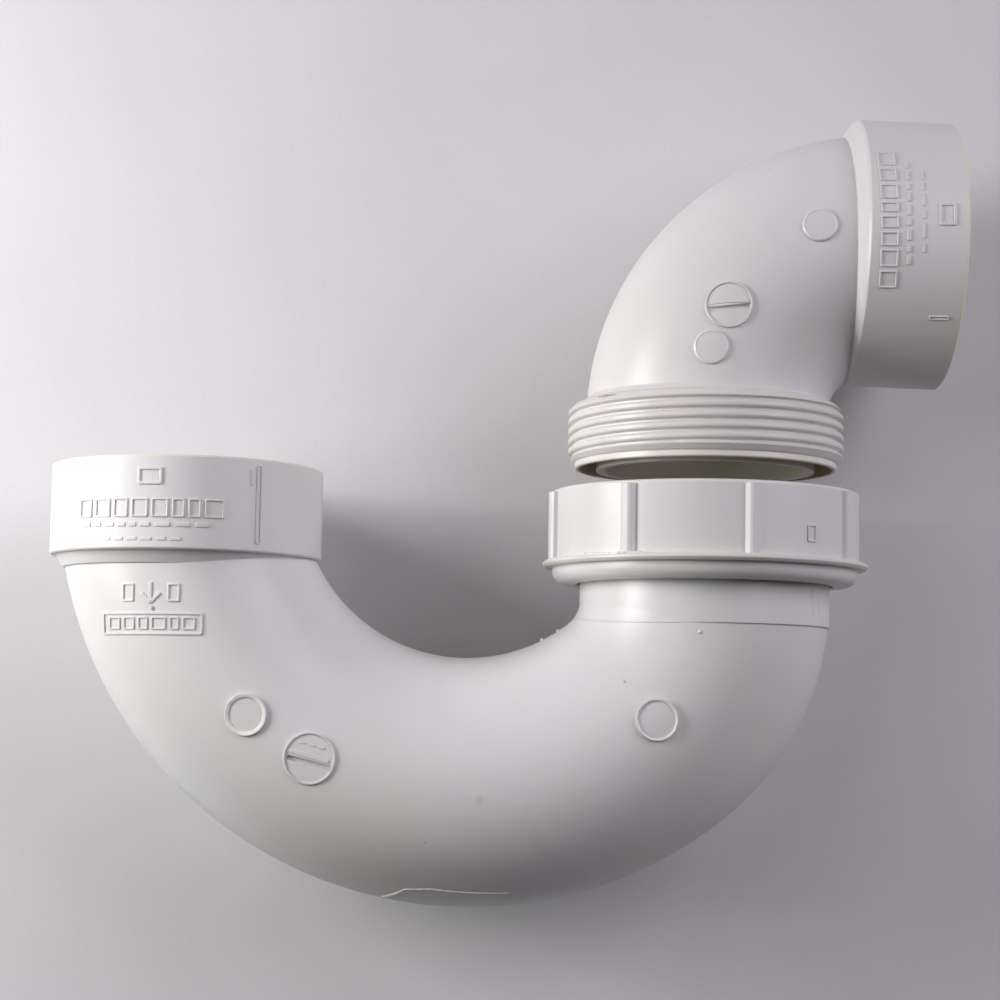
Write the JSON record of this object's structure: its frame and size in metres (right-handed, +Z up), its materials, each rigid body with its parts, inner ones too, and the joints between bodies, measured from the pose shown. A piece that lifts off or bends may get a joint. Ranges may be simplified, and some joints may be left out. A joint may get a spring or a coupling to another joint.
{
  "type": "p trap",
  "caption": "Drain trap lying on its side: return bend with pipe socket, ribbed coupling nut and threaded outlet elbow, drawn with the union just undone.",
  "frame": {"origin": "centre of the bounding box at its lowest level", "axes": "+Y is the way the open inlet and the union point, +X from the inlet leg to the outlet leg, +Z up from the surface that it lies on"},
  "size_m": [0.2256, 0.2003, 0.0816],
  "materials": {
    "bend_pvc": "satin white PVC",
    "arm_pvc": "satin white PVC",
    "nut_pvc": "satin white PVC",
    "seal_rubber": "matt"
  },
  "bodies": {
    "return_bend": {"trap_bend": "bend_pvc"},
    "sealing_washer": {"union_washer": "seal_rubber"},
    "coupling_nut": {"union_nut": "nut_pvc"},
    "outlet_arm": {"trap_arm": "arm_pvc"}
  },
  "joints": [
    {"name": "arm_swivel", "type": "hinge", "parent": "return_bend", "child": "sealing_washer", "pos_m": [0.05179, 0.0015, 0.0408], "axis": [0, 1, 0], "continuous": true},
    {"name": "nut_spin", "type": "hinge", "parent": "sealing_washer", "child": "coupling_nut", "pos_m": [0.05179, 0.0015, 0.0408], "axis": [0, 1, 0], "range_deg": [0, 2830]},
    {"name": "arm_draw", "type": "slide", "parent": "sealing_washer", "child": "outlet_arm", "axis": [0, -1, 0], "range_m": [0, 0.02]}
  ],
  "couplings": [
    {"joint": "arm_draw", "follows": "nut_spin", "m_per_rad": 0.00040425}
  ]
}
